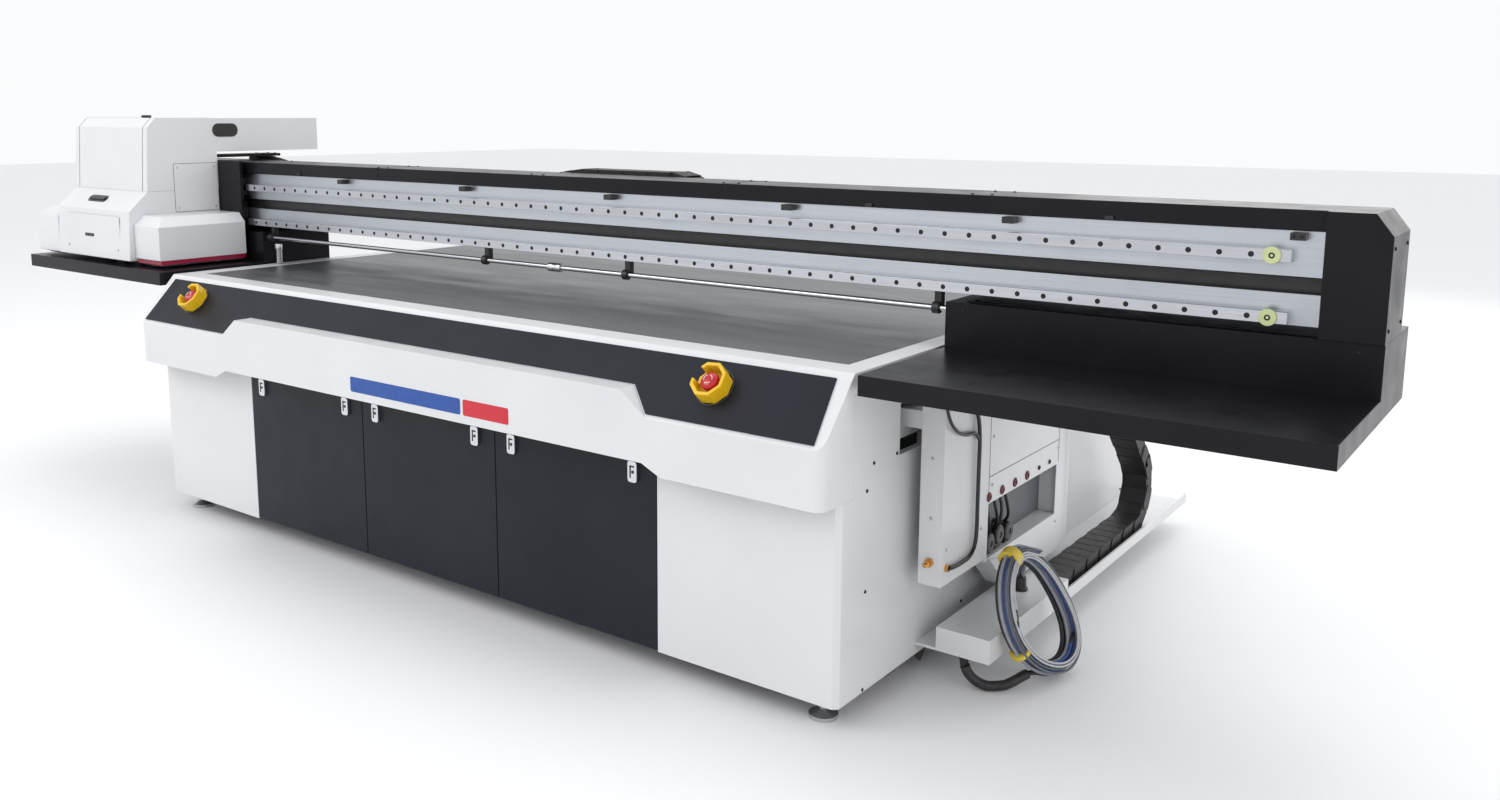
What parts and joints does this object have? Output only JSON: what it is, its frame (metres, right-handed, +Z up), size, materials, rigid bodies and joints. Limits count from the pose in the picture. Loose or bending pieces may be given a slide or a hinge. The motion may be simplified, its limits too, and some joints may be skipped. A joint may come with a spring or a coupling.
{
  "type": "flatbed UV printer",
  "caption": "Wide flatbed UV printer with a vacuum table, a gantry that slides front to back and a white print carriage parked at its left end.",
  "frame": {"origin": "centre of the footprint of the whole machine without its loose cable, on the floor", "axes": "+Z up, +X along the gantry beam to the operator's right, -Y towards the operator"},
  "size_m": [4.472, 1.933, 1.3],
  "materials": {
    "white_paint": "fine satin powder coat",
    "black_paint": "semi-gloss powder coat",
    "door_paint": "satin powder coat",
    "frame_paint": "matt grey paint",
    "bed_aluminium": "dark hard-anodised, drilled",
    "beam_aluminium": "satin anodised",
    "head_aluminium": "machined",
    "rail_steel": "ground",
    "foot_steel": "zinc plated",
    "latch_chrome": "satin chrome",
    "yellow_plastic": "moulded, gloss",
    "red_plastic": "moulded, gloss",
    "cast_housing": "painted black, fine grain",
    "chain_plastic": "moulded nylon",
    "tube_plastic": "extruded",
    "cable_rubber": "matt jacket"
  },
  "bodies": {
    "base": {"end_frame_left": "frame_paint", "end_frame_right": "frame_paint", "left_cabinet": "white_paint", "right_cabinet": "white_paint", "rear_panel": "white_paint", "fascia": "white_paint", "control_strip": "black_paint", "table_rim": "white_paint", "print_bed": "bed_aluminium", "vacuum_plenum": "frame_paint", "vacuum_blower": "cast_housing", "y_rail_left": "rail_steel", "y_rail_right": "rail_steel", "chain_tray": "white_paint", "y_chain_lower": "chain_plastic", "levelling_foot_1": "foot_steel", "levelling_foot_2": "foot_steel", "levelling_foot_3": "foot_steel", "levelling_foot_4": "foot_steel", "stop_guard_left": "yellow_plastic", "stop_guard_right": "yellow_plastic", "cable_coil": "cable_rubber", "cable_lead": "cable_rubber"},
    "gantry": {"beam": "beam_aluminium", "beam_lid": "black_paint", "upper_rail": "rail_steel", "lower_rail": "rail_steel", "left_end_cover": "black_paint", "right_end_cover": "black_paint", "left_station": "black_paint", "right_station": "black_paint", "left_leg": "white_paint", "right_leg": "white_paint", "electrics_enclosure": "white_paint", "x_motor": "cast_housing", "air_tube": "tube_plastic", "x_chain_lower": "chain_plastic", "crash_rod": "rail_steel", "y_chain_upper": "chain_plastic"},
    "y_chain": {"y_chain_bend": "chain_plastic"},
    "carriage": {"carriage_plate": "black_paint", "x_chain_upper": "chain_plastic"},
    "x_chain": {"x_chain_bend": "chain_plastic"},
    "lift": {"carriage_cover": "white_paint", "carriage_nose": "white_paint", "lamp_left": "white_paint", "lamp_right": "white_paint", "print_heads": "head_aluminium"},
    "door_1": {"door_1": "door_paint"},
    "door_2": {"door_2": "door_paint"},
    "door_3": {"door_3": "door_paint"},
    "latch_1": {"latch_1": "latch_chrome"},
    "latch_2": {"latch_2": "latch_chrome"},
    "latch_3": {"latch_3": "latch_chrome"},
    "latch_4": {"latch_4": "latch_chrome"},
    "latch_5": {"latch_5": "latch_chrome"},
    "latch_6": {"latch_6": "latch_chrome"},
    "stop_left": {"stop_button_left": "red_plastic"},
    "stop_right": {"stop_button_right": "red_plastic"}
  },
  "joints": [
    {"name": "gantry_y", "type": "slide", "parent": "base", "child": "gantry", "axis": [0, 1, 0], "range_m": [0, 1.1]},
    {"name": "carriage_x", "type": "slide", "parent": "gantry", "child": "carriage", "axis": [1, 0, 0], "range_m": [0, 3.45]},
    {"name": "lift_z", "type": "slide", "parent": "carriage", "child": "lift", "axis": [0, 0, 1], "range_m": [0, 0.1]},
    {"name": "y_chain_roll", "type": "slide", "parent": "gantry", "child": "y_chain", "axis": [0, 1, 0], "range_m": [-0.55, 0], "deforming": ["y_chain_upper"]},
    {"name": "x_chain_roll", "type": "slide", "parent": "carriage", "child": "x_chain", "axis": [1, 0, 0], "range_m": [-1.725, 0], "deforming": ["x_chain_upper"]},
    {"name": "door_1_tilt", "type": "hinge", "parent": "base", "child": "door_1", "pos_m": [-0.54267, -0.8915, 0.057], "axis": [1, 0, 0], "range_deg": [0, 80]},
    {"name": "latch_1_turn", "type": "hinge", "parent": "door_1", "child": "latch_1", "pos_m": [-0.746, -0.8965, 0.489], "axis": [0, -1, 0], "range_deg": [0, 90]},
    {"name": "latch_2_turn", "type": "hinge", "parent": "door_1", "child": "latch_2", "pos_m": [-0.33933, -0.8965, 0.489], "axis": [0, -1, 0], "range_deg": [0, 90]},
    {"name": "door_2_tilt", "type": "hinge", "parent": "base", "child": "door_2", "pos_m": [0, -0.8915, 0.057], "axis": [1, 0, 0], "range_deg": [0, 80]},
    {"name": "latch_3_turn", "type": "hinge", "parent": "door_2", "child": "latch_3", "pos_m": [-0.20333, -0.8965, 0.489], "axis": [0, -1, 0], "range_deg": [0, 90]},
    {"name": "latch_4_turn", "type": "hinge", "parent": "door_2", "child": "latch_4", "pos_m": [0.20333, -0.8965, 0.489], "axis": [0, -1, 0], "range_deg": [0, 90]},
    {"name": "door_3_tilt", "type": "hinge", "parent": "base", "child": "door_3", "pos_m": [0.54267, -0.8915, 0.057], "axis": [1, 0, 0], "range_deg": [0, 80]},
    {"name": "latch_5_turn", "type": "hinge", "parent": "door_3", "child": "latch_5", "pos_m": [0.33933, -0.8965, 0.489], "axis": [0, -1, 0], "range_deg": [0, 90]},
    {"name": "latch_6_turn", "type": "hinge", "parent": "door_3", "child": "latch_6", "pos_m": [0.746, -0.8965, 0.489], "axis": [0, -1, 0], "range_deg": [0, 90]},
    {"name": "stop_left_press", "type": "slide", "parent": "base", "child": "stop_left", "axis": [0, 0.7502, -0.6612], "range_m": [0, 0.006], "stiffness_N_per_m": 600, "springref_m": -0.004},
    {"name": "stop_right_press", "type": "slide", "parent": "base", "child": "stop_right", "axis": [0, 0.7502, -0.6612], "range_m": [0, 0.006], "stiffness_N_per_m": 600, "springref_m": -0.004}
  ],
  "couplings": [
    {"joint": "y_chain_roll", "follows": "gantry_y", "ratio": -0.5},
    {"joint": "x_chain_roll", "follows": "carriage_x", "ratio": -0.5}
  ]
}
